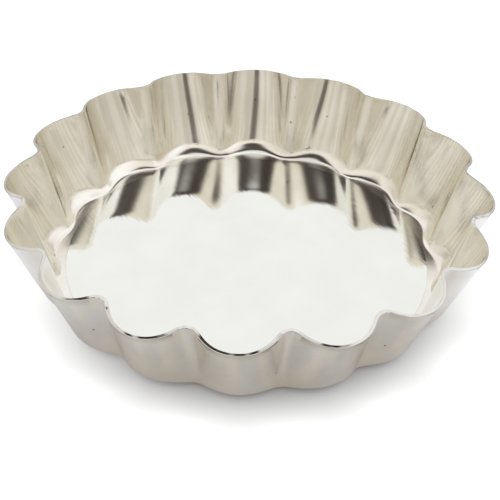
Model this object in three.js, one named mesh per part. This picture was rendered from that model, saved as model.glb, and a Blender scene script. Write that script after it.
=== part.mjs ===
// Fluted tinplate mould for tartlets, in millimetres with +Z up.
// A flaring fluted ring ends at its foot in an in-turned ledge, and a round loose base lies on the
// ledge and lifts straight out through the wide rim.
// The origin is on the surface that the mould stands on, at the middle of the ring. One lobe of the
// flutes points along +X.
import * as THREE from 'three';

// Driving dimensions of the ring. Radii belong to the inner face of the sheet.
const FLUTES = 16;
const HEIGHT = 19.5;
const RIDGE_RISE = 1.4;
const SHEET = 0.4;
const RIM_RADIUS = 49.6;
const RIM_FLUTE_DEPTH = 4.7;
const RIM_RIDGE_BEND = 2.0;
const WALL_FLARE = 9.6;
const FOOT_FLUTE_DEPTH = 1.7;
const FOOT_RIDGE_BEND = 3.0;
const LOBE_FOOT_BEND = 3.0;
const RIDGE_FOOT_BEND = 2.0;

// Driving dimensions of the loose base and of its seat.
const BASE_SHEET = 0.4;
const BASE_CLEARANCE = 0.4;
const LEDGE_LAP = 5.0;

// Facets on the arcs.
const LOBE_STEPS = 8;
const RIDGE_STEPS = 4;
const BEND_STEPS = 3;
const BASE_SIDES = 96;

// Sizes that follow from the driving dimensions.
const HALF_PITCH = Math.PI / FLUTES;
const COLUMNS = FLUTES * (LOBE_STEPS + RIDGE_STEPS);
const FOOT_RADIUS = RIM_RADIUS - WALL_FLARE;
const BASE_RADIUS = FOOT_RADIUS - FOOT_FLUTE_DEPTH - BASE_CLEARANCE;
const LEDGE_RADIUS = BASE_RADIUS - LEDGE_LAP;
const LEDGE_TOP = SHEET;

function polar(radius, angle) {
  return new THREE.Vector2(radius * Math.cos(angle), radius * Math.sin(angle));
}

// Plan of the flutes at one height: wide outward lobe arcs that run tangentially into tight inward
// ridge arcs. The lobe radius follows from the condition that the two circles touch.
function flutePlan(lobeTop, depth, ridgeBend) {
  const ridgeCentre = lobeTop - depth + ridgeBend;
  const reach = ridgeCentre * Math.cos(HALF_PITCH);
  const chord = lobeTop ** 2 + ridgeCentre ** 2 - 2 * lobeTop * reach;
  const lobeBend = (chord - ridgeBend ** 2) / (2 * (lobeTop + ridgeBend - reach));
  const lobeCentre = lobeTop - lobeBend;
  const halfTurn = Math.atan2(ridgeCentre * Math.sin(HALF_PITCH), reach - lobeCentre);
  const points = [];
  for (let flute = 0; flute < FLUTES; flute += 1) {
    const axis = 2 * HALF_PITCH * flute;
    for (let step = 0; step <= LOBE_STEPS; step += 1) {
      const turn = axis + halfTurn * (2 * step / LOBE_STEPS - 1);
      points.push(polar(lobeCentre, axis).add(polar(lobeBend, turn)));
    }
    for (let step = 1; step < RIDGE_STEPS; step += 1) {
      const sweep = 2 * (HALF_PITCH - halfTurn) * step / RIDGE_STEPS;
      const turn = axis + halfTurn + Math.PI + sweep;
      points.push(polar(ridgeCentre, axis + HALF_PITCH).add(polar(ridgeBend, turn)));
    }
  }
  return points;
}

// How far each column of the plan lies towards the top of its lobe: 1 there, 0 on the ridge line.
function lobeShare(column) {
  const place = (column % (LOBE_STEPS + RIDGE_STEPS)) - LOBE_STEPS / 2;
  const half = (LOBE_STEPS + RIDGE_STEPS) / 2;
  return 0.5 + 0.5 * Math.cos(Math.PI * place / half);
}

function outwardNormals(plan) {
  return plan.map((point, index) => {
    const next = plan[(index + 1) % plan.length];
    const last = plan[(index + plan.length - 1) % plan.length];
    return new THREE.Vector2(next.y - last.y, last.x - next.x).normalize();
  });
}

// Height of the rim above the ground. The wall is equally long all round, so the ridges, which lean
// out less than the lobes, stand higher.
function rimHeight(rim) {
  const lobeward = (rim.length() - RIM_RADIUS) / RIM_FLUTE_DEPTH + 1;
  return HEIGHT - RIDGE_RISE * lobeward;
}

// One column of the inner face from the rim down: a straight wall, the bend at the foot, whose
// radius shrinks from lobe to ridge, and the flat ledge up to its round opening.
function innerColumn(column, rim, foot, outward) {
  const bend = THREE.MathUtils.lerp(RIDGE_FOOT_BEND, LOBE_FOOT_BEND, lobeShare(column));
  const top = rimHeight(rim);
  const lean = rim.clone().sub(foot).dot(outward);
  const rise = top - LEDGE_TOP - bend;
  const wallTilt = Math.acos(bend / Math.hypot(lean, rise)) - Math.atan2(rise, lean);
  const points = [new THREE.Vector3(rim.x, rim.y, top)];
  for (let step = 0; step <= BEND_STEPS; step += 1) {
    const tilt = THREE.MathUtils.lerp(wallTilt, Math.PI / 2, step / BEND_STEPS);
    const place = foot.clone().addScaledVector(outward, bend * Math.cos(tilt));
    points.push(new THREE.Vector3(place.x, place.y, LEDGE_TOP + bend * (1 - Math.sin(tilt))));
  }
  const opening = foot.clone().setLength(LEDGE_RADIUS);
  points.push(new THREE.Vector3(opening.x, opening.y, LEDGE_TOP));
  return points;
}

function innerFace() {
  const rim = flutePlan(RIM_RADIUS, RIM_FLUTE_DEPTH, RIM_RIDGE_BEND);
  const foot = flutePlan(FOOT_RADIUS, FOOT_FLUTE_DEPTH, FOOT_RIDGE_BEND);
  const outward = outwardNormals(foot);
  return rim.map((point, column) => innerColumn(column, point, foot[column], outward[column]));
}

// The outer face lies one sheet thickness behind the inner face, along its normal. The two rows of
// the ledge go straight down, so that the underside is flat.
function outerFace(inner) {
  return inner.map((points, column) => {
    const next = inner[(column + 1) % COLUMNS];
    const last = inner[(column + COLUMNS - 1) % COLUMNS];
    return points.map((point, row) => {
      if (row >= points.length - 2) {
        return new THREE.Vector3(point.x, point.y, LEDGE_TOP - SHEET);
      }
      const around = next[row].clone().sub(last[row]);
      const below = points[row + 1].clone().sub(points[Math.max(row - 1, 0)]);
      const normal = below.cross(around).normalize();
      return point.clone().addScaledVector(normal, SHEET);
    });
  });
}

// The ring is a band of rows that runs down the inner face and back up the outer face, and closes
// on itself both ways.
function ringGeometry() {
  const inner = innerFace();
  const outer = outerFace(inner);
  const loops = inner.map((points, column) => points.concat(outer[column].toReversed()));
  const rows = loops[0].length;
  const index = [];
  for (let column = 0; column < COLUMNS; column += 1) {
    const beside = (column + 1) % COLUMNS;
    for (let row = 0; row < rows; row += 1) {
      const below = (row + 1) % rows;
      const a = column * rows + row;
      const b = beside * rows + row;
      const c = beside * rows + below;
      const d = column * rows + below;
      index.push(a, b, c, a, c, d);
    }
  }
  const geometry = new THREE.BufferGeometry().setFromPoints(loops.flat());
  geometry.setIndex(index);
  geometry.computeVertexNormals();
  return geometry;
}

// A plain round plate that lies on the ledge, inside the feet of the ridges.
function baseGeometry() {
  const profile = [
    new THREE.Vector2(0, 0),
    new THREE.Vector2(BASE_RADIUS, 0),
    new THREE.Vector2(BASE_RADIUS, BASE_SHEET),
    new THREE.Vector2(0, BASE_SHEET),
  ];
  return new THREE.LatheGeometry(profile, BASE_SIDES).rotateX(Math.PI / 2);
}

function piece(name, geometry, colour, roughness) {
  const material = new THREE.MeshStandardMaterial({ color: colour, roughness, metalness: 1 });
  const mesh = new THREE.Mesh(geometry, material);
  mesh.name = name;
  return mesh;
}

const ring = piece('fluted_ring', ringGeometry(), 0xd9d4c6, 0.22);
const base = piece('loose_base', baseGeometry(), 0xe2e1da, 0.18);
base.position.z = LEDGE_TOP;

const mould = new THREE.Group();
mould.add(ring, base);

export default mould;
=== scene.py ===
# %% [markdown]
# # A fluted tartlet mould in bright tinplate
# The mould is a ring of thin pressed sheet with sixteen flutes and a round base plate that lies loose
# on a ledge inside the ring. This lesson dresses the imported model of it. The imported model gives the
# places, the heights and the sheet, and each mesh below is worked out straight in its frame, in metres
# with +Z up.

# %% The frame
import math

import bpy
import numpy as np
from mathutils import Matrix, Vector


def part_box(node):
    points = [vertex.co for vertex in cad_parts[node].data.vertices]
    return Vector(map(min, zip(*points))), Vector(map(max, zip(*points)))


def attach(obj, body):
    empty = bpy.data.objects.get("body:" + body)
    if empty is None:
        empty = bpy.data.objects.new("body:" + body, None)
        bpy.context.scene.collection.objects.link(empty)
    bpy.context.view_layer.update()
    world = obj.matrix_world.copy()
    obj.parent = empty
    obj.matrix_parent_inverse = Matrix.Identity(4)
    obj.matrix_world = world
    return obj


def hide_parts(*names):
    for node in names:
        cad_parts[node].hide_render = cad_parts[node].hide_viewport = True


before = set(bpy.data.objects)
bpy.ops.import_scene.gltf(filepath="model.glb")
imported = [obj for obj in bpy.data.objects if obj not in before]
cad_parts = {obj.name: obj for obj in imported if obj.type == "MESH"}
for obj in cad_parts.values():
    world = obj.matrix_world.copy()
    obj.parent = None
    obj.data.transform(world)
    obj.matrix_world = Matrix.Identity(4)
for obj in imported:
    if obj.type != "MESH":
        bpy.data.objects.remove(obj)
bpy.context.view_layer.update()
ring_low, ring_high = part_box("fluted_ring")
base_low, base_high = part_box("loose_base")

# %% [markdown]
# ## The camera
# A photograph fixes the camera through a handful of numbers: which way it looks, how far away it
# stands, how much it is rolled and how long its lens is. A camera could be placed by hand until the
# picture fits. Here the numbers come from fitting the sixteen equal flutes of the rim to the picture,
# and the three axes of the camera are worked out from them and written into its matrix.

# %% Camera
MM = 0.001
SENSOR_WIDTH = 36.0
LENS = 92.43
CAMERA_AIM = np.array([0.958, -19.88, 18.1]) * MM
CAMERA_DISTANCE = 244.66 * MM
CAMERA_AZIMUTH = math.radians(1.108)
CAMERA_ELEVATION = math.radians(37.382)
CAMERA_ROLL = math.radians(1.99)
CLIP_START = 10 * MM


def camera_axes(azimuth, elevation, roll):
    """Right, up and backward axes of a camera that looks down at an azimuth, rolled about its view."""
    level = math.cos(elevation)
    backward = np.array([math.sin(azimuth) * level, -math.cos(azimuth) * level, math.sin(elevation)])
    flat_right = np.array([math.cos(azimuth), math.sin(azimuth), 0.0])
    flat_up = np.cross(backward, flat_right)
    right = math.cos(roll) * flat_right + math.sin(roll) * flat_up
    up = math.cos(roll) * flat_up - math.sin(roll) * flat_right
    return right, up, backward


camera = bpy.data.objects.new("camera", bpy.data.cameras.new("camera"))
camera.data.sensor_width = SENSOR_WIDTH
camera.data.lens = LENS
camera.data.clip_start = CLIP_START
right, up, backward = camera_axes(CAMERA_AZIMUTH, CAMERA_ELEVATION, CAMERA_ROLL)
pose = np.eye(4)
pose[:3, 0], pose[:3, 1], pose[:3, 2] = right, up, backward
pose[:3, 3] = CAMERA_AIM + CAMERA_DISTANCE * backward
camera.matrix_world = Matrix(pose.tolist())
bpy.context.collection.objects.link(camera)
bpy.context.scene.camera = camera
print("camera at", np.round(pose[:3, 3] / MM, 1), "mm")

# %% [markdown]
# ## The fluted ring
# The real ring is one piece of sheet, drawn in a press: wide lobes bulge outwards, tight ridges fold
# inwards between them, the wall flares from foot to rim, and a bend at the foot turns it into a flat
# ledge. It could be modelled as a bent cylinder with modifiers, but the flutes fade from deep at the
# rim to almost nothing at the foot, which a formula says best. So the plan of the flutes is worked out
# twice, at the rim and at the foot, and every column of the grid runs straight from one to the other.

# %% Sizes of the ring
FLUTES = 16
HALF_PITCH = math.pi / FLUTES
HEIGHT = ring_high.z
SHEET = base_low.z
RIM_RADIUS = 49.6 * MM
RIM_FLUTE_DEPTH = 4.7 * MM
RIM_RIDGE_BEND = 2.8 * MM
RIDGE_RISE = 1.4 * MM
FOOT_RADIUS = 42.1 * MM
FOOT_FLUTE_DEPTH = 2.2 * MM
FOOT_RIDGE_BEND = 3.0 * MM
FLOOR_TOP = base_high.z
BASE_RADIUS = base_high.x
LEDGE_LAP = 5.0 * MM
LEDGE_RADIUS = BASE_RADIUS - LEDGE_LAP
BASE_CLEARANCE = 0.02 * MM
LOBE_COLUMNS = 54
RIDGE_COLUMNS = 28
PITCH_COLUMNS = LOBE_COLUMNS + RIDGE_COLUMNS
COLUMNS = FLUTES * PITCH_COLUMNS
print("ring", round(HEIGHT / MM, 2), "mm high, sheet", round(SHEET / MM, 2), "mm")

# %% [markdown]
# A plan is easiest in complex numbers, where a turn is a multiplication. One pitch is a lobe arc and a
# ridge arc that touch, and the radius of the lobe arc follows from that condition. A light smoothing
# along the plan lets the curvature change gradually, as it does in real sheet.

# %% Plan of the flutes
PLAN_SMOOTHING = 20


def smooth_around(values, times):
    """Each value becomes a quarter, a half and a quarter of itself and its two neighbours, repeatedly."""
    for _ in range(times):
        values = (np.roll(values, 1, axis=0) + 2 * values + np.roll(values, -1, axis=0)) / 4
    return values


def flute_plan(lobe_top, depth, ridge_bend):
    """Closed plan of the flutes as complex numbers: lobe arcs tangent to ridge arcs, turned round."""
    ridge_centre = lobe_top - depth + ridge_bend
    reach = ridge_centre * math.cos(HALF_PITCH)
    chord = lobe_top**2 + ridge_centre**2 - 2 * lobe_top * reach
    lobe_bend = (chord - ridge_bend**2) / (2 * (lobe_top + ridge_bend - reach))
    lobe_centre = lobe_top - lobe_bend
    half_turn = math.atan2(ridge_centre * math.sin(HALF_PITCH), reach - lobe_centre)
    lobe_turn = half_turn * np.linspace(-1, 1, LOBE_COLUMNS, endpoint=False)
    lobe = lobe_centre + lobe_bend * np.exp(1j * lobe_turn)
    share = np.linspace(0, 1, RIDGE_COLUMNS, endpoint=False)
    ridge_turn = half_turn + math.pi + 2 * (HALF_PITCH - half_turn) * share
    ridge = ridge_centre * np.exp(1j * HALF_PITCH) + ridge_bend * np.exp(1j * ridge_turn)
    turns = np.exp(2j * HALF_PITCH * np.arange(FLUTES))
    plan = turns[:, None] * np.concatenate([lobe, ridge])[None, :]
    return smooth_around(plan.ravel(), PLAN_SMOOTHING)


rim_plan = flute_plan(RIM_RADIUS, RIM_FLUTE_DEPTH, RIM_RIDGE_BEND)
foot_plan = flute_plan(FOOT_RADIUS, FOOT_FLUTE_DEPTH, FOOT_RIDGE_BEND)
print("plan of", COLUMNS, "columns, rim", round(abs(rim_plan).max() / MM, 2), "mm")

# %% [markdown]
# A tin that has been handled is a little out of round, and no two flutes lean quite alike. Slow waves
# round the plan, of a few tenths of a millimetre at most, give that. The rim is freer than the foot.

# %% Out of round
ROUND_SEED = 4
ROUND_WAVES = 7
ROUND_COUNTS = (2, 12)
ROUND_SHARES = (0.4, 1.0)
RIM_STRAY = 0.09 * MM
FOOT_STRAY = 0.05 * MM


def out_of_round(draw, stray):
    """Sum of a few slow waves round the ring, each with a whole count and its own phase and height."""
    turn = 2 * math.pi * np.arange(COLUMNS)[:, None] / COLUMNS
    counts = draw.integers(*ROUND_COUNTS, ROUND_WAVES)
    phases = draw.uniform(0, 2 * math.pi, ROUND_WAVES)
    heights = stray * draw.uniform(*ROUND_SHARES, ROUND_WAVES)
    return (heights * np.sin(counts * turn + phases)).sum(axis=-1)


draw = np.random.default_rng(ROUND_SEED)
rim_plan = rim_plan + out_of_round(draw, RIM_STRAY) * rim_plan / abs(rim_plan)
foot_plan = foot_plan + out_of_round(draw, FOOT_STRAY) * foot_plan / abs(foot_plan)
print("rim now out to", round(abs(rim_plan).max() / MM, 2), "mm")

# %% [markdown]
# The punch pressed the bend at the foot harder at both ends than in the middle. An arc would turn evenly,
# but this bend turns quickly, slackens and turns quickly again. So it is a chain of short steps, and the
# share of the turn that each has done runs ahead of an even turn at first, then lags and catches up.

# %% Bend at the foot
BEND_ROWS = 18
BEND_SLACK = 0.65
SLACK_PLACE = 0.45


def turned_share(along):
    """Share of the turn that is done at a share of the bend: even, plus a wave that slackens one place."""
    shift = 2 * math.pi * (0.5 - SLACK_PLACE)
    wave = np.sin(2 * math.pi * along + shift) - math.sin(shift)
    return along + BEND_SLACK * wave / (2 * math.pi)


def eased_bend(start_way, end_way):
    """Curve of length 1 whose way turns from one unit vector to another by the turned share."""
    along = np.linspace(0, 1, BEND_ROWS)
    middle = turned_share((along[1:] + along[:-1]) / 2)[None, :, None]
    whole = np.arccos((start_way * end_way).sum(axis=-1))[:, None, None]
    ways = np.sin((1 - middle) * whole) * start_way[:, None] + np.sin(middle * whole) * end_way[:, None]
    steps = ways / np.sin(whole) / (BEND_ROWS - 1)
    return np.concatenate([np.zeros_like(steps[:, :1]), np.cumsum(steps, axis=1)], axis=1), whole[:, 0, 0]


print("share of the turn done half way along the bend", round(turned_share(0.5), 3))

# %% [markdown]
# Each column starts at the rim, runs straight down the wall, rounds the bend, which is wider below a lobe
# than below a ridge, and goes on flat to a circle just outside the loose base. There the sheet steps down
# by its own thickness to the ledge, so that the base lies flush in the floor.

# %% Inner face of the sheet
WALL_ROWS = 11
PRESSED_ROWS = WALL_ROWS + BEND_ROWS
EDGE_ROUND = 0.08 * MM
LIP_SHARE = 0.025
LOBE_BEND = 3.6 * MM
RIDGE_BEND = 1.9 * MM


def outward_of(plan):
    """Unit vectors that point out of a closed plan: the step from neighbour to neighbour, turned right."""
    along = np.roll(plan, -1) - np.roll(plan, 1)
    return -1j * along / abs(along)


def as_points(plan, height):
    """Stacks a plan of complex numbers and its heights into points."""
    height = np.broadcast_to(height, plan.shape)
    return np.stack([plan.real, plan.imag, height], axis=-1)


def on_circle(plan, radius, height):
    """Points on a circle, each on the same ray from the middle as a point of a plan."""
    return as_points(radius * plan / abs(plan), height)


lobeward = (abs(rim_plan) - RIM_RADIUS) / RIM_FLUTE_DEPTH + 1


def inner_face():
    """Columns of the inner face: a straight wall, an eased bend, a flat, a step down and the ledge."""
    rim = as_points(rim_plan, np.minimum(HEIGHT - RIDGE_RISE * lobeward, HEIGHT))
    foot = as_points(foot_plan, FLOOR_TOP)
    height = np.linalg.norm(foot - rim, axis=-1)
    down = (foot - rim) / height[:, None]
    inwards = as_points(-outward_of(foot_plan), 0.0)
    curve, whole = eased_bend(down, inwards)
    curve = curve * ((RIDGE_BEND + (LOBE_BEND - RIDGE_BEND) * lobeward) * whole)[:, None, None]
    along_down = (curve[:, -1] * down).sum(axis=-1) - np.cos(whole) * (curve[:, -1] * inwards).sum(axis=-1)
    wall_length = height - along_down / np.sin(whole) ** 2
    share = np.concatenate([[0.0], np.linspace(LIP_SHARE, 1, WALL_ROWS - 1, endpoint=False)])[None, :]
    way = EDGE_ROUND + (wall_length - EDGE_ROUND)[:, None] * share
    wall = rim[:, None] + down[:, None] * way[..., None]
    bend = (rim + down * wall_length[:, None])[:, None] + curve
    end = bend[:, -1, 0] + 1j * bend[:, -1, 1]
    seat = BASE_RADIUS + BASE_CLEARANCE
    step = [on_circle(end, seat, FLOOR_TOP), on_circle(end, seat, SHEET)]
    ledge = on_circle(end, LEDGE_RADIUS, SHEET)
    return np.concatenate([wall, bend, np.stack(step + [ledge], axis=1)], axis=1)


inner = inner_face()
flat_start = np.linalg.norm(inner[:, PRESSED_ROWS - 1, :2], axis=-1)
print("inner face of", inner.shape[0], "columns and", inner.shape[1], "rows")
print("flat floor starts", round(flat_start.min() / MM, 2), "to", round(flat_start.max() / MM, 2), "mm out")

# %% [markdown]
# Pressed sheet is never quite even. A sum of waves pushes the wall in and out by about a tenth of a
# millimetre at most, which is too little to see as a shape but enough to let the reflections wander as
# they do on a real tin.

# %% Unevenness of the pressing
RIPPLE_SEED = 7
RIPPLE_WAVES = 26
RIPPLE_HEIGHT = 0.042 * MM
RIPPLE_SLOWEST = 9
RIPPLE_FASTEST = 64
RIPPLE_DRIFT = 13.0
RIPPLE_SHARES = (0.3, 1.0)


def pressing_ripple(columns, rows):
    """Sum of waves round the ring, each with its own count, phase and slow drift along the rows."""
    draw = np.random.default_rng(RIPPLE_SEED)
    counts = draw.integers(RIPPLE_SLOWEST, RIPPLE_FASTEST, RIPPLE_WAVES)
    phases = draw.uniform(0, 2 * math.pi, RIPPLE_WAVES)
    drifts = draw.uniform(-RIPPLE_DRIFT, RIPPLE_DRIFT, RIPPLE_WAVES)
    heights = RIPPLE_HEIGHT * draw.uniform(*RIPPLE_SHARES, RIPPLE_WAVES) * RIPPLE_SLOWEST / counts
    turn = 2 * math.pi * np.arange(columns)[:, None, None] / columns
    fall = np.linspace(0, 1, rows)[None, :, None]
    return (heights * np.sin(counts * turn + drifts * fall + phases)).sum(axis=-1)


def sheet_normals(points):
    """Unit normals of a grid closed round its columns: the step down crossed with the step round."""
    around = np.roll(points, -1, axis=0) - np.roll(points, 1, axis=0)
    normals = np.cross(np.gradient(points, axis=1), around)
    normals /= np.linalg.norm(normals, axis=-1, keepdims=True)
    normals[:, PRESSED_ROWS - 1:] = (0.0, 0.0, -1.0)
    return normals


ripple = pressing_ripple(COLUMNS, PRESSED_ROWS)
ripple *= np.concatenate([np.ones(WALL_ROWS), np.linspace(1, 0, BEND_ROWS)])
inner[:, :PRESSED_ROWS] += ripple[:, :, None] * sheet_normals(inner)[:, :PRESSED_ROWS]
print("ripple up to", round(abs(ripple).max() / MM, 3), "mm")

# %% [markdown]
# The outer face lies one sheet behind the inner one. At the step down to the ledge it is moved a little
# further out, because the lower corner of the inner face would otherwise meet the upper corner of the
# outer face, and the sheet would have no thickness there.

# %% Outer face of the sheet
STEP_LEAN = 0.15 * MM
outer = inner + SHEET * sheet_normals(inner)
step_rows = slice(PRESSED_ROWS, -1)
outer[:, step_rows, :2] *= 1 + STEP_LEAN / BASE_RADIUS
print("outer face out to", round(np.linalg.norm(outer[..., :2], axis=-1).max() / MM, 2), "mm")

# %% [markdown]
# The sheet is cut at the rim and at the opening of the ledge. Shears leave a cut edge uneven: a small
# burr stands out on both sides, the middle is flat and a little askew, and the corner on the side where
# the blade came in is rolled over. So the profile of the cut has a flat face, a steeper bevel on the outer
# side and two tight corners.

# %% Profile of a cut
CUT_SHARES = np.array([0.0, 0.03, 0.06, 0.09, 0.4, 0.72, 0.77, 0.82, 0.96, 1.0])
LEDGE_SHARES = np.array([0.0, 0.72])
CORNER_SHARE = 0.05
INNER_CORNER = 0.7 * EDGE_ROUND
OUTER_CORNER = 0.3 * EDGE_ROUND
BEVEL_FROM = 0.79
BEVEL_SLOPE = 0.32
ROLLED_DROP = 0.1 * MM


def cut_edge(inside, outside, ahead, tilt, shares):
    """Profile of a cut from the inner face to the outer one: a tilted face, a bevel and dropped corners."""
    bevel = BEVEL_SLOPE * np.maximum(shares - BEVEL_FROM, 0) * SHEET
    corner = INNER_CORNER * np.clip(1 - shares / CORNER_SHARE, 0, 1)
    corner += OUTER_CORNER * np.clip(1 - (1 - shares) / CORNER_SHARE, 0, 1)
    slope = SHEET * tilt[:, None] * shares
    rise = EDGE_ROUND + ROLLED_DROP * shares - bevel - corner - slope
    chord = inside[:, None] + (outside - inside)[:, None] * shares[None, :, None]
    return chord + ahead[:, None] * rise[..., None]


def ahead_of(points, last, before):
    """Unit steps from one row to the row that ends at the edge."""
    step = points[:, last] - points[:, before]
    return step / np.linalg.norm(step, axis=-1, keepdims=True)


print("cut of", len(CUT_SHARES), "rows across the rim and", len(LEDGE_SHARES), "across the ledge")

# %% [markdown]
# The blade doesn't cut square. The slope of the cut across the sheet is steeper on the lobes than on the
# ridges, and it wavers round the rim, which gives the bright edge its broken glints.

# %% Slope of the cut rim
SHEAR_SEED = 3
SHEAR_WAVES = 12
SHEAR_TILT = 0.19
SHEAR_STRAY = 0.019
SHEAR_COUNTS = (25, 180)
SHEAR_FULL_FROM = 0.4


def shear_tilt():
    """Slope of the cut rim across the sheet: steeper on the lobes, plus quick waves round the ring."""
    draw = np.random.default_rng(SHEAR_SEED)
    turn = 2 * math.pi * np.arange(COLUMNS)[:, None] / COLUMNS
    counts = draw.integers(*SHEAR_COUNTS, SHEAR_WAVES)
    phases = draw.uniform(0, 2 * math.pi, SHEAR_WAVES)
    tilted = np.clip(lobeward / SHEAR_FULL_FROM, 0, 1)
    return SHEAR_TILT * tilted + SHEAR_STRAY * np.sin(counts * turn + phases).sum(axis=-1)


rim_tilt = shear_tilt()
print("cut rim slopes by", round(rim_tilt.min(), 2), "to", round(rim_tilt.max(), 2))

# %% [markdown]
# The cuts close the sheet between its inner and its outer face. On the ridges the blade dragged the
# sheet, so the burr is wider there.

# %% Cut edges
INNER_BURR = 0.06 * MM
LOBE_BURR = 0.08 * MM
RIDGE_BURR = 0.3 * MM
upward = ahead_of(inner, 0, 1)
outward = sheet_normals(inner)[:, 0]
inner[:, 0] -= INNER_BURR * outward
burr = RIDGE_BURR + (LOBE_BURR - RIDGE_BURR) * lobeward
outer[:, 0] += burr[:, None] * outward - ROLLED_DROP * upward
rim_edge = cut_edge(inner[:, 0], outer[:, 0], upward, rim_tilt, CUT_SHARES)
inward = ahead_of(inner, -1, -2)
outer[:, -1] -= ROLLED_DROP * inward
ledge_edge = cut_edge(inner[:, -1], outer[:, -1], inward, np.zeros(COLUMNS), LEDGE_SHARES)
ring_points = np.concatenate([inner, ledge_edge, outer[:, ::-1], rim_edge[:, ::-1]], axis=1)
print("ring of", ring_points.shape[1], "rows, top at", round(ring_points[..., 2].max() / MM, 3), "mm")

# %% [markdown]
# The finish needs to know where it is on the sheet, because the marks of drawing run along the flutes.
# So the mesh carries an attribute: the way round the ring, rolled up as a circle so that it closes, and
# the way down the wall. A second attribute marks the cut rim.

# %% Ways along the sheet
def way_round(plan):
    """Length along a closed plan, rolled up into a circle of the same length, as complex numbers."""
    steps = abs(np.roll(plan, -1) - plan)
    length = np.concatenate([[0.0], np.cumsum(steps)[:-1]])
    return steps.sum() / (2 * math.pi) * np.exp(2j * math.pi * length / steps.sum())


def way_down(points):
    """Length down each column from the rim."""
    steps = np.linalg.norm(np.diff(points, axis=1), axis=-1)
    return np.concatenate([np.zeros((len(points), 1)), np.cumsum(steps, axis=1)], axis=1)


circle = way_round((rim_plan + foot_plan) / 2)
down = way_down(inner)
print("sheet of", round(down.max() / MM, 1), "mm from the rim to the opening of the ledge")

# %% Ring mesh
def closed_quads(columns, rows):
    """Faces of a grid that is closed both ways, each with its corners in the order that faces out."""
    index = np.arange(columns * rows).reshape(columns, rows)
    beside = np.roll(index, -1, axis=0)
    corners = [index, beside, np.roll(beside, -1, axis=1), np.roll(index, -1, axis=1)]
    return np.stack(corners, axis=-1).reshape(-1, 4)


SHARP_FROM = math.radians(35)


def new_piece(name, points, faces):
    """A mesh object at the origin, made of points and faces, smooth but for its sharp corners."""
    mesh = bpy.data.meshes.new(name)
    mesh.from_pydata(points.reshape(-1, 3).tolist(), [], faces)
    mesh.shade_smooth()
    mesh.set_sharp_from_angle(angle=SHARP_FROM)
    piece = bpy.data.objects.new(name, mesh)
    bpy.context.collection.objects.link(piece)
    return piece


ring = new_piece("ring_of_flutes", ring_points, closed_quads(*ring_points.shape[:2]).tolist())
ledge_end = np.repeat(down[:, -1:], ledge_edge.shape[1], axis=1)
rim_end = np.zeros(rim_edge.shape[:2])
sheet_down = np.concatenate([down, ledge_end, down[:, ::-1], rim_end], axis=1)
sheet_place = as_points(np.repeat(circle[:, None], sheet_down.shape[1], axis=1), sheet_down)
ring.data.attributes.new("sheet", "FLOAT_VECTOR", "POINT").data.foreach_set("vector", sheet_place.ravel())
cut_mask = np.zeros(ring_points.shape[:2])
cut_mask[:, -len(CUT_SHARES):] = 1.0
ring.data.attributes.new("cut", "FLOAT", "POINT").data.foreach_set("value", cut_mask.ravel())
print("ring mesh", len(ring.data.polygons), "faces")

# %% [markdown]
# ## The loose base
# The base is a disc punched from rolled sheet. A plain cylinder would do for its outline, but a real
# disc is never quite flat: where it spans the opening of the ledge it sags and buckles by hundredths of
# a millimetre. Its punched edge is crisp, only just rounded. It is a profile carried round the axis, with
# slow waves added to both faces alike.

# %% Buckle of the base
BUCKLE_SEED = 21
BUCKLE_WAVES = 14
BUCKLE_HEIGHT = 0.012 * MM
BUCKLE_SHORTEST = 9 * MM
BUCKLE_LONGEST = 40 * MM
BUCKLE_RISE = 3.0


def buckle(plan):
    """Sum of slow plane waves in all directions, faded out where the disc lies on the ledge."""
    draw = np.random.default_rng(BUCKLE_SEED)
    turn = draw.uniform(0, 2 * math.pi, BUCKLE_WAVES)
    length = draw.uniform(BUCKLE_SHORTEST, BUCKLE_LONGEST, BUCKLE_WAVES)
    phase = draw.uniform(0, 2 * math.pi, BUCKLE_WAVES)
    along = (plan[..., None] * np.exp(-1j * turn)).real
    heights = BUCKLE_HEIGHT * length / BUCKLE_LONGEST
    waves = (heights * np.sin(2 * math.pi * along / length + phase)).sum(axis=-1)
    inside = np.clip(1 - abs(plan) / LEDGE_RADIUS, 0, 1)
    return waves * np.minimum(1, BUCKLE_RISE * inside) ** 2


middle_sag = buckle(np.zeros(1, complex))[0]
print("base buckles by", round(middle_sag / MM, 3), "mm in the middle")

# %% Base mesh
BASE_COLUMNS = 192
BASE_ROWS = 44
BASE_EDGE_ROWS = 6
BASE_EDGE_ROUND = 0.01 * MM
BASE_EDGE_SUPPORT = 0.03 * MM
BASE_EDGE_SQUARENESS = 6.0
def superellipse(turn, squareness):
    """Across and ahead on a unit superellipse: powers of the cosine and the sine, with their signs."""
    across = np.sign(np.cos(turn)) * abs(np.cos(turn)) ** (2 / squareness)
    return across, np.sin(turn) ** (2 / squareness)


def base_points():
    """Profile of the disc, top face, punched edge and bottom face, carried round the axis."""
    flat = BASE_RADIUS - BASE_EDGE_ROUND
    radius = np.append((flat - BASE_EDGE_SUPPORT) * np.linspace(0, 1, BASE_ROWS)[1:], flat)
    turn = np.linspace(0, math.pi, BASE_EDGE_ROWS + 2)[1:-1]
    across, bulge = superellipse(turn, BASE_EDGE_SQUARENESS)
    edge = flat + BASE_EDGE_ROUND * bulge
    middle = (base_high.z + base_low.z) / 2
    half = (base_high.z - base_low.z) / 2
    reach = np.concatenate([radius, edge, radius[::-1]])
    level = np.concatenate([np.full(BASE_ROWS, half), half * across, np.full(BASE_ROWS, -half)])
    spin = np.exp(2j * math.pi * np.arange(BASE_COLUMNS) / BASE_COLUMNS)
    plan = spin[:, None] * reach[None, :]
    return as_points(plan, middle + level[None, :] + buckle(plan))


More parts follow.
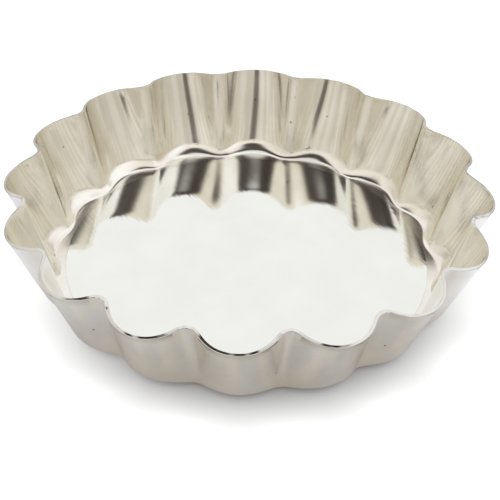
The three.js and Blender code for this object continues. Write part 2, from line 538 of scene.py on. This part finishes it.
def disc_faces(columns, rows):
    """Quads of a grid closed round its columns, and a fan at each end round a middle point."""
    index = np.arange(columns * rows).reshape(columns, rows)
    beside = np.roll(index, -1, axis=0)
    quads = np.stack([index[:, :-1], index[:, 1:], beside[:, 1:], beside[:, :-1]], axis=-1).reshape(-1, 4)
    top = np.stack([np.full(columns, columns * rows), index[:, 0], beside[:, 0]], axis=-1)
    bottom = np.stack([np.full(columns, columns * rows + 1), beside[:, -1], index[:, -1]], axis=-1)
    return quads.tolist() + top.tolist() + bottom.tolist()


disc = base_points()
poles = [[0.0, 0.0, base_high.z + middle_sag], [0.0, 0.0, base_low.z + middle_sag]]
base = new_piece("base_disc", np.concatenate([disc.reshape(-1, 3), poles]), disc_faces(*disc.shape[:2]))
print("base mesh", len(base.data.polygons), "faces")

# %% [markdown]
# ## Places in the frame
# Both meshes stand for an imported node, which is hidden, and move with its body.

# %% Bodies, nodes and slots
for piece, body, node_name, slot_name in (
    (ring, "ring", "fluted_ring", "ring_tinplate"),
    (base, "base", "loose_base", "base_tinplate"),
):
    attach(piece, body)
    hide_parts(node_name)
    print(piece.name, "rides on", body)

# %% [markdown]
# ## Tinplate
# Tinplate is steel sheet under a thin bright coat of tin. It is nearly a mirror, and what tells it from
# chrome is in its faults: fine lines left by the rolls and by the press, a faint peel like the skin of
# an orange, cloudy patches where the coat is duller, and a few pits. Painted scratches would slide and
# blur, so the faults are worked out from noise instead. Both pieces share them, so they are one node
# group. Its coordinates are metres, with the lines running along Z.

# %% Node helpers
def place(tree, kind, links=None, **settings):
    """Adds a node, sets its properties, and links or sets its inputs by name or number."""
    node = tree.nodes.new(kind)
    for key, value in settings.items():
        setattr(node, key, value)
    for key, value in (links or {}).items():
        socket = node.inputs[key]
        if isinstance(value, bpy.types.NodeSocket):
            tree.links.new(value, socket)
        else:
            socket.default_value = value
    return node


def maths(tree, operation, *values):
    """The output of a Math node that works on the given values or sockets."""
    return place(tree, "ShaderNodeMath", dict(enumerate(values)), operation=operation).outputs[0]


def soft_step(tree, value, start, end):
    """A smooth rise from 0 at start to 1 at end."""
    links = {"Value": value, "From Min": start, "From Max": end}
    return place(tree, "ShaderNodeMapRange", links, interpolation_type="SMOOTHSTEP").outputs[0]


def between(tree, value, low, high):
    """A straight map of a value from 0 and 1 to low and high."""
    return place(tree, "ShaderNodeMapRange", {"Value": value, "To Min": low, "To Max": high}).outputs[0]


def tint(tree, share, first, second):
    """The first colour turned into the second by a share."""
    return place(tree, "ShaderNodeMix", {0: share, 6: first, 7: second}, data_type="RGBA").outputs[2]


def noise(tree, spot, width, detail):
    """Smooth noise between 0 and 1 whose bumps are about the given width."""
    links = {"Vector": spot, "Scale": 1 / width, "Detail": detail}
    return place(tree, "ShaderNodeTexNoise", links).outputs[0]


def vector_maths(tree, operation, first, second, output=0):
    """An output of a Vector Math node that works on two vectors."""
    return place(tree, "ShaderNodeVectorMath", {0: first, 1: second}, operation=operation).outputs[output]


def new_material(name):
    """An empty node material and its tree."""
    material = bpy.data.materials.new(name)
    material.use_nodes = True
    material.node_tree.nodes.clear()
    return material, material.node_tree


# %% Faults of the tin coat
PEEL_WIDTH = 1.6 * MM
CLOUD_WIDTH = 11 * MM
PIT_SPACING = 5.0 * MM
PIT_EDGE = 0.055
PIT_CORE = 0.0275
LINE_DETAIL = 0.5
PEEL_DETAIL = 2.0
CLOUD_DETAIL = 4.0
CLOUD_RANGE = (0.3, 0.7)
HAZE_RANGE = (0.35, 0.75)


def build_faults():
    """Node group: lines and peel as a height, cloudy lines as a haze, clouds, and pits as a mask."""
    group = bpy.data.node_groups.new("faults_of_tin", "ShaderNodeTree")
    for name in ("Place", "Grain"):
        group.interface.new_socket(name, in_out="INPUT", socket_type="NodeSocketVector")
    for name in ("Lines", "Peel", "Pits"):
        group.interface.new_socket(name, in_out="INPUT", socket_type="NodeSocketFloat")
    for name in ("Height", "Haze", "Cloud", "Pit"):
        group.interface.new_socket(name, in_out="OUTPUT", socket_type="NodeSocketFloat")
    given = place(group, "NodeGroupInput").outputs
    spot = given["Place"]
    drawn = vector_maths(group, "DIVIDE", spot, given["Grain"])
    lines = noise(group, drawn, 1.0, LINE_DETAIL)
    peel = noise(group, spot, PEEL_WIDTH, PEEL_DETAIL)
    cloud = soft_step(group, noise(group, spot, CLOUD_WIDTH, CLOUD_DETAIL), *CLOUD_RANGE)
    cells = place(group, "ShaderNodeTexVoronoi", {"Vector": spot, "Scale": 1 / PIT_SPACING})
    pit = soft_step(group, cells.outputs["Distance"], PIT_EDGE, PIT_CORE)
    height = maths(group, "MULTIPLY", lines, given["Lines"])
    height = maths(group, "MULTIPLY_ADD", peel, given["Peel"], height)
    pit = maths(group, "MULTIPLY", pit, given["Pits"])
    haze = maths(group, "MULTIPLY", soft_step(group, lines, *HAZE_RANGE), cloud)
    place(group, "NodeGroupOutput", {"Height": height, "Haze": haze, "Cloud": cloud, "Pit": pit})
    return group


faults = build_faults()
print("faults of the tin in", len(faults.nodes), "nodes")

# %% [markdown]
# On the wall the press has drawn the sheet, so the lines run up the flutes. They follow the attribute
# "sheet". The rim is cut through the coat, so its edge is bare steel: darker than the tin, and smooth
# where the blade sheared it.

# %% Ring finish
RING_TIN = (0.905, 0.884, 0.832, 1.0)
RING_DULL = (0.81, 0.779, 0.708, 1.0)
PIT_DARK = (0.14, 0.12, 0.09, 1.0)
RING_GRAIN = (2.3 * MM, 2.3 * MM, 15.0 * MM)
BARE_STEEL = (0.72, 0.71, 0.69, 1.0)
RING_ROUGHNESS = (0.152, 0.168)
STEEL_ROUGHNESS = 0.1
RING_LINES = 0.8
RING_PEEL = 2.2
RING_PITS = 0.85
BUMP_DEPTH = 0.001 * MM


def finish(tree, coordinates, grain, lines, peel, pits):
    """The group of faults, and a bump that carries its height, on the given coordinates."""
    links = {"Place": coordinates, "Grain": grain, "Lines": lines, "Peel": peel, "Pits": pits}
    coat = place(tree, "ShaderNodeGroup", links, node_tree=faults).outputs
    links = {"Height": coat["Height"], "Distance": BUMP_DEPTH, "Strength": 1.0}
    return coat, place(tree, "ShaderNodeBump", links).outputs[0]


ring_material, tree = new_material("ring_tin")
sheet = place(tree, "ShaderNodeAttribute", attribute_name="sheet").outputs["Vector"]
cut = place(tree, "ShaderNodeAttribute", attribute_name="cut").outputs["Fac"]
coat, normal = finish(tree, sheet, RING_GRAIN, RING_LINES, RING_PEEL, RING_PITS)
colour = tint(tree, coat["Cloud"], RING_TIN, RING_DULL)
colour = tint(tree, coat["Pit"], colour, PIT_DARK)
roughness = between(tree, coat["Haze"], *RING_ROUGHNESS)
links = {
    "Base Color": tint(tree, cut, colour, BARE_STEEL),
    "Roughness": between(tree, cut, roughness, STEEL_ROUGHNESS),
    "Metallic": 1.0,
    "Normal": normal,
}
shader = place(tree, "ShaderNodeBsdfPrincipled", links)
place(tree, "ShaderNodeOutputMaterial", {"Surface": shader.outputs[0]})
ring.data.materials.append(ring_material)
print("ring finish of", len(tree.nodes), "nodes")

# %% [markdown]
# The base is punched from sheet as it leaves the rolls, so its lines all run one way across the disc. A
# Mapping node turns Object coordinates until the way of rolling is their Z axis.

# %% Base finish
BASE_TIN = (0.878, 0.884, 0.842, 1.0)
BASE_DULL = (0.85, 0.856, 0.812, 1.0)
BASE_ROUGHNESS = (0.04, 0.1)
BASE_GRAIN = (0.4 * MM, 0.4 * MM, 9.0 * MM)
BASE_LINES = 8.0
BASE_PEEL = 3.6
BASE_PITS = 0.0
ROLLING = math.radians(-54)

base_material, tree = new_material("base_tin")
coordinates = place(tree, "ShaderNodeTexCoord").outputs["Object"]
turn = (math.pi / 2, ROLLING - math.pi / 2, 0.0)
rolled = place(tree, "ShaderNodeMapping", {"Vector": coordinates, "Rotation": turn}).outputs[0]
coat, normal = finish(tree, rolled, BASE_GRAIN, BASE_LINES, BASE_PEEL, BASE_PITS)
links = {
    "Base Color": tint(tree, coat["Cloud"], BASE_TIN, BASE_DULL),
    "Roughness": between(tree, coat["Haze"], *BASE_ROUGHNESS),
    "Metallic": 1.0,
    "Normal": normal,
}
shader = place(tree, "ShaderNodeBsdfPrincipled", links)
place(tree, "ShaderNodeOutputMaterial", {"Surface": shader.outputs[0]})
base.data.materials.append(base_material)
print("base finish of", len(tree.nodes), "nodes")

# %% [markdown]
# ## Floor
# The mould stands on white paper. A bright paper would need a lot of light, and that light would wash
# out the tin. So the paper is a dim matte floor that also glows for the camera and for reflections. The
# glow carries a painted shadow: the light comes from the back and the left, so the glow is painted darker
# close to the mould, most of all in front of it to the right: Ambient Occlusion says how close, and the
# direction from the middle says how much. In reflections the paper carries painted shade and light: a
# painted shade, dark and warm, right under the flare; further out a painted shade, dim and a little
# patchy, in front of the mould and behind it; and painted light, paler, at its sides.

# %% Floor
FLOOR_HALF = 1.5
corners = FLOOR_HALF * np.array([[-1, -1, 0], [1, -1, 0], [1, 1, 0], [-1, 1, 0]])
floor = new_piece("floor", corners, [(0, 1, 2, 3)])
print("floor of", 2 * FLOOR_HALF, "m")

# %% Paper as the camera sees it, with a painted shadow
FLOOR_GLOW = 0.98
SHADE_REACH = 8.5 * MM
SHADE_WAY = (0.22, -0.975, 0.0)
SHADE_FROM = -0.1
SHADE_FULL = 1.0
SHADE_LEAST = 0.2
SHADE_SAMPLES = 16
floor_material, tree = new_material("white_paper")
rays = place(tree, "ShaderNodeLightPath").outputs
spot = place(tree, "ShaderNodeTexCoord").outputs["Object"]
way = place(tree, "ShaderNodeVectorMath", {0: spot}, operation="NORMALIZE").outputs[0]
toward = vector_maths(tree, "DOT_PRODUCT", way, SHADE_WAY, "Value")
# Painted shadow: the glow is darkened close to the mould, by Ambient Occlusion and most in front to the
# right.
shaded = between(tree, soft_step(tree, toward, SHADE_FROM, SHADE_FULL), SHADE_LEAST, 1.0)
clear = place(tree, "ShaderNodeAmbientOcclusion", {"Distance": SHADE_REACH}, samples=SHADE_SAMPLES)
clear = clear.outputs["AO"]
closed = maths(tree, "MULTIPLY", maths(tree, "SUBTRACT", 1.0, clear), shaded)
shown = maths(tree, "MULTIPLY", maths(tree, "SUBTRACT", 1.0, closed), FLOOR_GLOW)
print("paper as the camera sees it in", len(tree.nodes), "nodes")

# %% Paper in reflections, with painted shade and light
# Painted light and shade of the paper as the tin mirrors it: paler at the sides, dim and patchy in front
# and behind.
MIRRORED_LIT_LEFT = (0.7, 0.715, 0.77, 1.0)
MIRRORED_LIT_RIGHT = (0.82, 0.835, 0.9, 1.0)
MIRRORED_SHADE_COOL = (0.41, 0.415, 0.42, 1.0)
MIRRORED_SHADE_WARM = (0.5, 0.48, 0.44, 1.0)
# Painted shade right under the flare, dark and warm.
MIRRORED_SHADE_UNDER_FLARE = (0.27, 0.235, 0.205, 1.0)
MIRRORED_FROM = 0.1
MIRRORED_FULL = 0.8
SIDES_RANGE = (-0.5, 0.5)
PATCH_WIDTH = 9 * MM
PATCH_DETAIL = 1.0
PATCH_RANGE = (0.35, 0.65)
ways = place(tree, "ShaderNodeSeparateXYZ", {0: way}).outputs
ends = soft_step(tree, maths(tree, "ABSOLUTE", ways["Y"]), MIRRORED_FROM, MIRRORED_FULL)
patches = soft_step(tree, noise(tree, spot, PATCH_WIDTH, PATCH_DETAIL), *PATCH_RANGE)
shade_at_ends = tint(tree, patches, MIRRORED_SHADE_COOL, MIRRORED_SHADE_WARM)
light_at_sides = tint(tree, soft_step(tree, ways["X"], *SIDES_RANGE), MIRRORED_LIT_LEFT, MIRRORED_LIT_RIGHT)
# The painted shade under the flare, where Ambient Occlusion closes in, goes over the painted ends and
# sides.
mirrored_light_and_shade = tint(tree, clear, MIRRORED_SHADE_UNDER_FLARE, tint(tree, ends, light_at_sides, shade_at_ends))
print("its reflection brings it to", len(tree.nodes), "nodes")

# %% Glow and matte paper
PAPER_WHITE = (1.0, 1.0, 1.0, 1.0)
FLOOR_WHITE = (0.2, 0.203, 0.21, 1.0)
strength = maths(tree, "MULTIPLY", shown, rays["Is Camera Ray"])
strength = maths(tree, "ADD", strength, rays["Is Glossy Ray"])
# Reflections see the paper with its painted shade and light, and the camera sees it white.
paper = tint(tree, rays["Is Glossy Ray"], PAPER_WHITE, mirrored_light_and_shade)
glow = place(tree, "ShaderNodeEmission", {"Color": paper, "Strength": strength})
matte = place(tree, "ShaderNodeBsdfDiffuse", {"Color": FLOOR_WHITE})
both = place(tree, "ShaderNodeAddShader", {0: matte.outputs[0], 1: glow.outputs[0]})
place(tree, "ShaderNodeOutputMaterial", {"Surface": both.outputs[0]})
floor.data.materials.append(floor_material)
print("paper of", len(tree.nodes), "nodes")

# %% [markdown]
# ## Room
# A bright metal looks like the room around it, so the room is half of the finish. It is a product
# table: a white sweep rises behind the mould and to its right, the room in front is a warm beige that
# gets lighter upwards, a dark ceiling hangs overhead round a lit panel, and a camera on a stand waits in
# front. Lamps and cards could stand round the mould, but a world that is worked out from the direction
# has no edges in the wrong place and lights every view alike. X points right, Y to the back and Z up.

# %% Beige room
BEIGE = (0.82, 0.787, 0.71, 1.0)
BEIGE_DEEP = (0.6, 0.57, 0.505, 1.0)
BEIGE_PALE = (0.95, 0.915, 0.84, 1.0)
PALE_FROM = 0.3
PALE_TO = 0.75
BAND_SCALE = (3.0, 3.0, 0.4)
BAND_DETAIL = 2.0
BAND_RANGE = (0.35, 0.65)

world = bpy.data.worlds.new("studio")
bpy.context.scene.world = world
world.use_nodes = True
tree = world.node_tree
tree.nodes.clear()
direction = place(tree, "ShaderNodeTexCoord").outputs["Generated"]
axes = place(tree, "ShaderNodeSeparateXYZ", {0: direction}).outputs
bands = noise(tree, vector_maths(tree, "MULTIPLY", direction, BAND_SCALE), 1.0, BAND_DETAIL)
colour = tint(tree, soft_step(tree, bands, *BAND_RANGE), BEIGE, BEIGE_DEEP)
colour = tint(tree, soft_step(tree, axes["Z"], PALE_FROM, PALE_TO), colour, BEIGE_PALE)
print("beige room in", len(tree.nodes), "nodes")

# %% Dark ceiling round a lit panel
DARK = (0.045, 0.035, 0.03, 1.0)
WHITE = (1.0, 1.0, 1.0, 1.0)
BRIGHT = (1.12, 1.12, 1.12, 1.0)
PANEL_WHITE = (0.9, 0.9, 0.9, 1.0)
CEILING_MIDDLE = (-0.04, 0.04, 0.0)
CEILING_RADIUS = 0.48
PANEL_MIDDLE = (0.0, 0.08, 0.0)
PANEL_RADIUS = 0.24
CEILING_SOFT = 0.05
CEILING_RISE = (0.3, 0.5)
flat = place(tree, "ShaderNodeCombineXYZ", {0: axes["X"], 1: axes["Y"]}).outputs[0]


def round_spot(middle, radius):
    """1 inside a circle round a point overhead and 0 outside it, with a soft edge."""
    away = vector_maths(tree, "DISTANCE", flat, middle, "Value")
    return soft_step(tree, away, radius + CEILING_SOFT, radius - CEILING_SOFT)


above = soft_step(tree, axes["Z"], *CEILING_RISE)
ceiling = maths(tree, "MULTIPLY", round_spot(CEILING_MIDDLE, CEILING_RADIUS), above)
colour = tint(tree, ceiling, colour, DARK)
panel = maths(tree, "MULTIPLY", round_spot(PANEL_MIDDLE, PANEL_RADIUS), above)
print("ceiling and panel bring it to", len(tree.nodes), "nodes")

# %% White sweep
BRIGHT_FROM = 0.75
BRIGHT_TO = 0.92
SWEEP_START = 0.04
SWEEP_SLOPE = 0.6
SWEEP_LEAN = 0.6
SWEEP_SOFT = 0.05
SWEEP_LOWEST = 0.44
RIGHT_FROM = 0.4
RIGHT_TO = 0.65
low = maths(tree, "SUBTRACT", 1.0, axes["Z"])
left = maths(tree, "MINIMUM", axes["X"], 0.0)
leaning = maths(tree, "MULTIPLY", maths(tree, "MULTIPLY", left, axes["Z"]), SWEEP_LEAN)
edge = maths(tree, "SUBTRACT", maths(tree, "MULTIPLY_ADD", low, SWEEP_SLOPE, SWEEP_START), leaning)
past = maths(tree, "SUBTRACT", axes["Y"], edge)
sweep = tint(tree, soft_step(tree, axes["Z"], BRIGHT_FROM, BRIGHT_TO), WHITE, BRIGHT)
risen = soft_step(tree, axes["Z"], SWEEP_LOWEST - SWEEP_SOFT, SWEEP_LOWEST + SWEEP_SOFT)
behind = maths(tree, "MULTIPLY", soft_step(tree, past, -SWEEP_SOFT, SWEEP_SOFT), risen)
colour = tint(tree, behind, colour, sweep)
high = soft_step(tree, axes["Z"], PALE_FROM, PALE_TO)
right_side = maths(tree, "MULTIPLY", soft_step(tree, axes["X"], RIGHT_FROM, RIGHT_TO), high)
colour = tint(tree, right_side, colour, BRIGHT)
# The panel hangs in front of the sweep, so its colour comes last.
colour = tint(tree, panel, colour, PANEL_WHITE)
print("sweep brings it to", len(tree.nodes), "nodes")

# %% Camera and its stand
STAND_LEAN = 0.1
STAND_HALF = 0.13
STAND_DARK = (0.13, 0.115, 0.1, 1.0)
STAND_SOFT = 0.04
STAND_TOP = 0.36
STAND_FRONT = (-0.3, -0.5)
CAMERA_WAY = (0.028, -0.798, 0.602)
CAMERA_HALF = 0.055
off = maths(tree, "ABSOLUTE", maths(tree, "MULTIPLY_ADD", axes["Y"], STAND_LEAN, axes["X"]))
stand = soft_step(tree, off, STAND_HALF + STAND_SOFT, STAND_HALF - STAND_SOFT)
below = soft_step(tree, axes["Z"], STAND_TOP + STAND_SOFT, STAND_TOP - STAND_SOFT)
stand = maths(tree, "MULTIPLY", stand, below)
stand = maths(tree, "MULTIPLY", stand, soft_step(tree, axes["Y"], *STAND_FRONT))
aside = vector_maths(tree, "DISTANCE", direction, CAMERA_WAY, "Value")
body = soft_step(tree, aside, CAMERA_HALF + STAND_SOFT, CAMERA_HALF - STAND_SOFT)
colour = tint(tree, maths(tree, "MAXIMUM", stand, body), colour, STAND_DARK)
print("camera and stand bring it to", len(tree.nodes), "nodes")

# %% Background
rays = place(tree, "ShaderNodeLightPath").outputs
seen = tint(tree, rays["Is Camera Ray"], colour, WHITE)
background = place(tree, "ShaderNodeBackground", {"Color": seen})
place(tree, "ShaderNodeOutputWorld", {"Surface": background.outputs[0]})
print("room of", len(tree.nodes), "nodes")

# %% [markdown]
# ## Lamp
# One soft lamp stands behind the mould to the left, so the shadow falls in front of it to the right. The
# tin doesn't mirror it, because the room already holds the bright panel that the tin shows.

# %% Lamp
LAMP_PLACE = np.array([-0.3, 0.15, 0.8])
LAMP_SIZE = 0.5
LAMP_POWER = 2.0
lamp = bpy.data.objects.new("key", bpy.data.lights.new("key", "AREA"))
lamp.data.shape = "DISK"
lamp.data.size = LAMP_SIZE
lamp.data.energy = LAMP_POWER
lamp.visible_glossy = False
bpy.context.collection.objects.link(lamp)
back_axis = LAMP_PLACE / np.linalg.norm(LAMP_PLACE)
side_axis = np.cross([0, 0, 1], back_axis)
side_axis /= np.linalg.norm(side_axis)
lamp_pose = np.eye(4)
lamp_pose[:3, :3] = np.stack([side_axis, np.cross(back_axis, side_axis), back_axis], axis=1)
lamp_pose[:3, 3] = LAMP_PLACE
lamp.matrix_world = Matrix(lamp_pose.tolist())
print("lamp at", LAMP_PLACE.tolist(), "m")

# %% [markdown]
# ## Size
# The standard view shows colours as they are written. The dressed mould keeps to the box of the packed
# model to within a tenth of a millimetre.

# %% Standard view
bpy.context.scene.view_settings.view_transform = "Standard"
bpy.context.view_layer.update()
